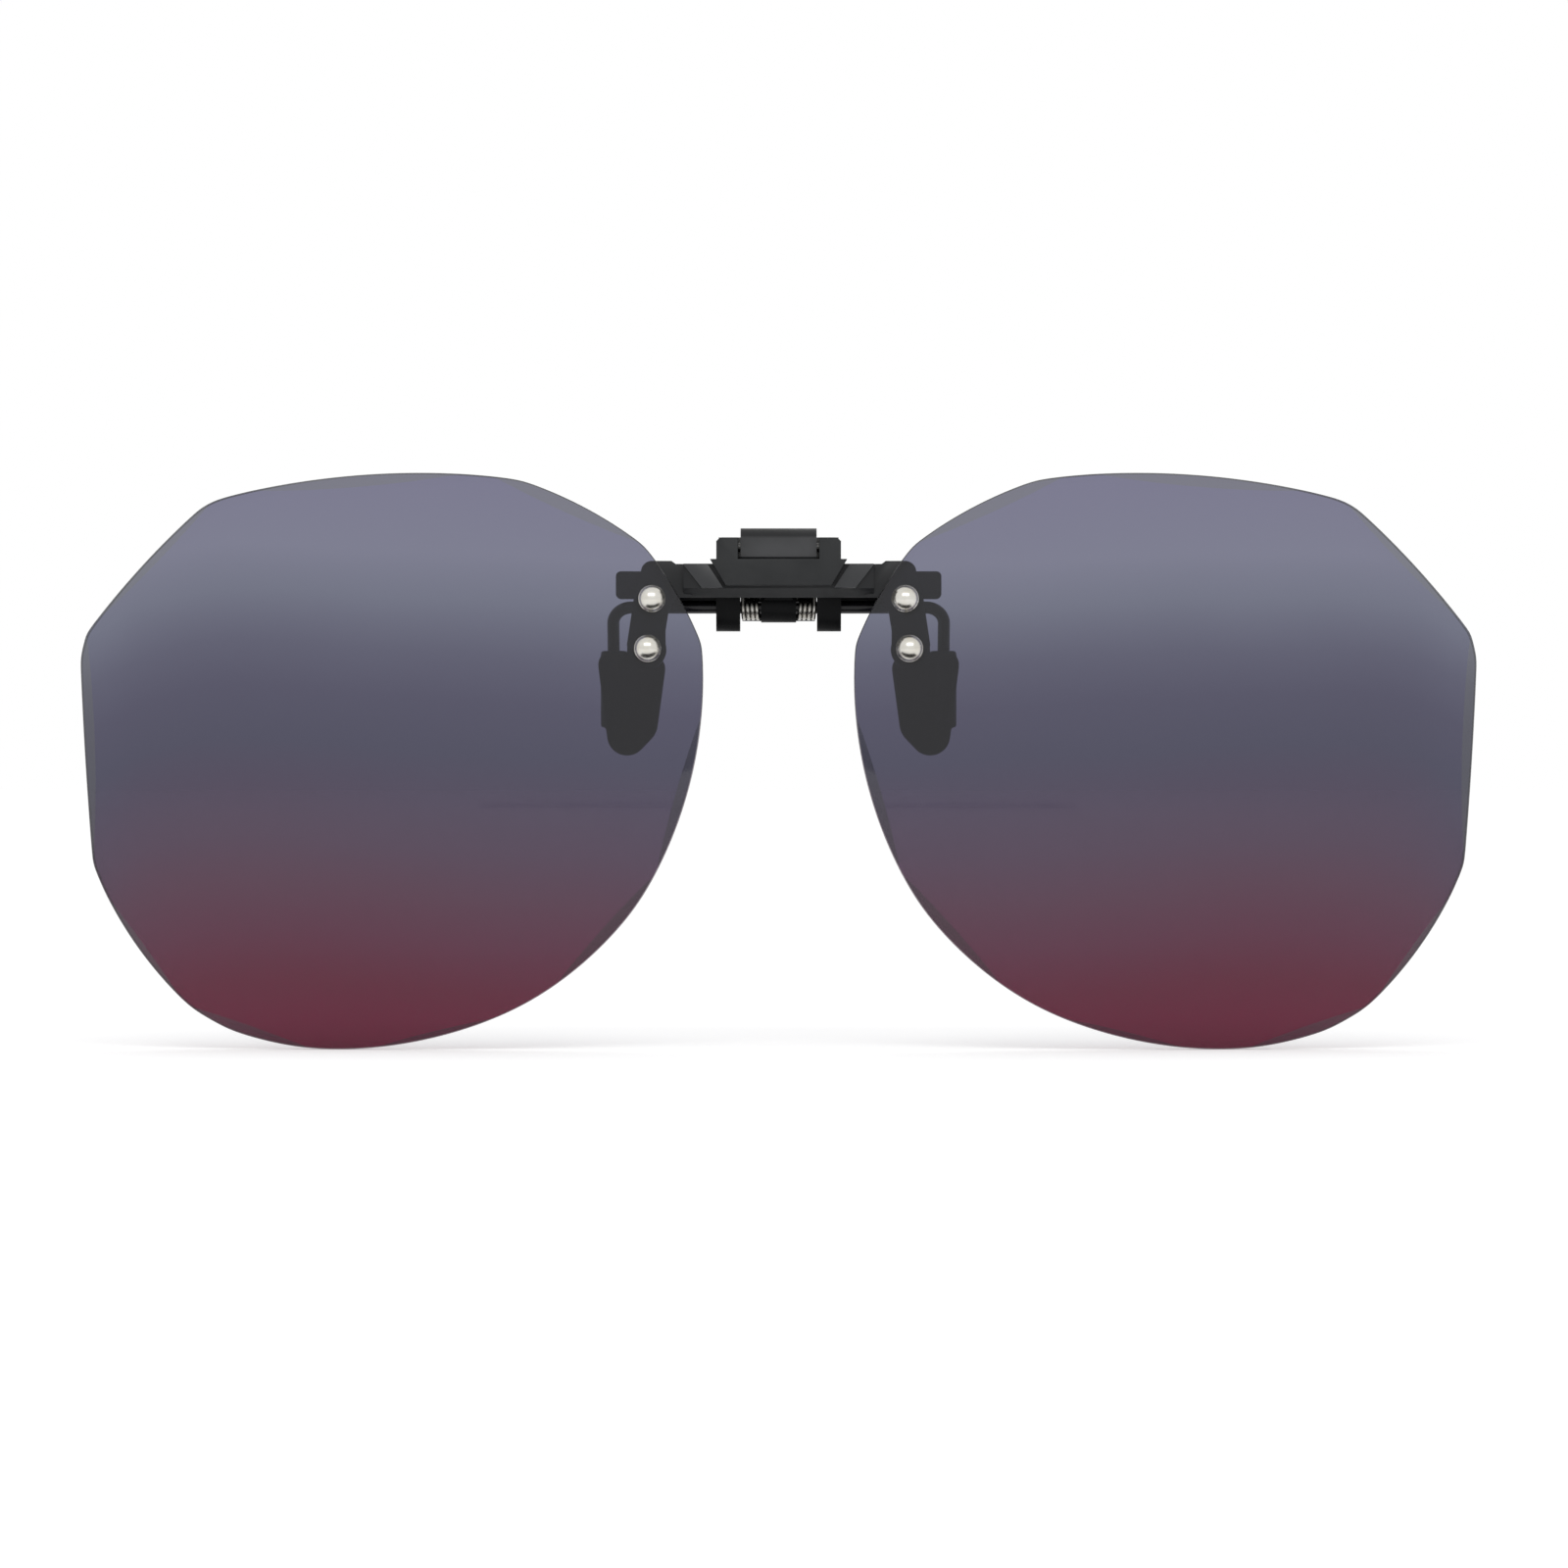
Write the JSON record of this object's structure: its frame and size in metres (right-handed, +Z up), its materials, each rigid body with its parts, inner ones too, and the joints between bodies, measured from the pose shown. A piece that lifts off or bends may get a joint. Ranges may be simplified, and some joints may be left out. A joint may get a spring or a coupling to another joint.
{
  "type": "clip-on sunglasses",
  "caption": "Rimless flip-up clip-on sunglasses: tinted lenses riveted to a bridge that hinges on a sprung clamp for the wearer's glasses.",
  "frame": {"origin": "middle of the clamp's pivot, where the jaw wire's axis crosses the plane between the two lenses", "axes": "+X to the right as seen from the front, +Y towards the wearer, +Z up"},
  "size_m": [0.1398, 0.0111, 0.0576],
  "materials": {
    "lens": "polished",
    "bridge": "satin",
    "cover": "satin",
    "rivet": "polished",
    "body": "satin",
    "pin": "satin",
    "spring": "polished",
    "pad": "satin",
    "wire": "gloss"
  },
  "bodies": {
    "clamp": {"clamp_body": "body", "flip_pin": "pin", "detent_spring": "spring", "front_pad_left": "pad", "front_pad_right": "pad", "torsion_spring": "spring"},
    "lens_carrier": {"lens_left": "lens", "lens_right": "lens", "bridge": "bridge", "hinge_cover": "cover", "rivet_upper_left": "rivet", "rivet_lower_left": "rivet", "rivet_upper_right": "rivet", "rivet_lower_right": "rivet", "washer_upper_left": "rivet", "washer_lower_left": "rivet", "washer_upper_right": "rivet", "washer_lower_right": "rivet"},
    "rear_jaw": {"jaw_wire": "wire", "pinch_lever": "body", "rear_pad_left": "pad", "rear_pad_right": "pad"}
  },
  "joints": [
    {"name": "flip_hinge", "type": "hinge", "parent": "clamp", "child": "lens_carrier", "pos_m": [0, -0.00205, 0.00597], "axis": [-1, 0, 0], "range_deg": [0, 90]},
    {"name": "jaw_hinge", "type": "hinge", "parent": "clamp", "child": "rear_jaw", "pos_m": [0, 0, 0], "axis": [1, 0, 0], "range_deg": [0, 25], "stiffness_Nm_per_rad": 0.02, "springref_deg": -34.38, "deforming": ["torsion_spring"]}
  ]
}
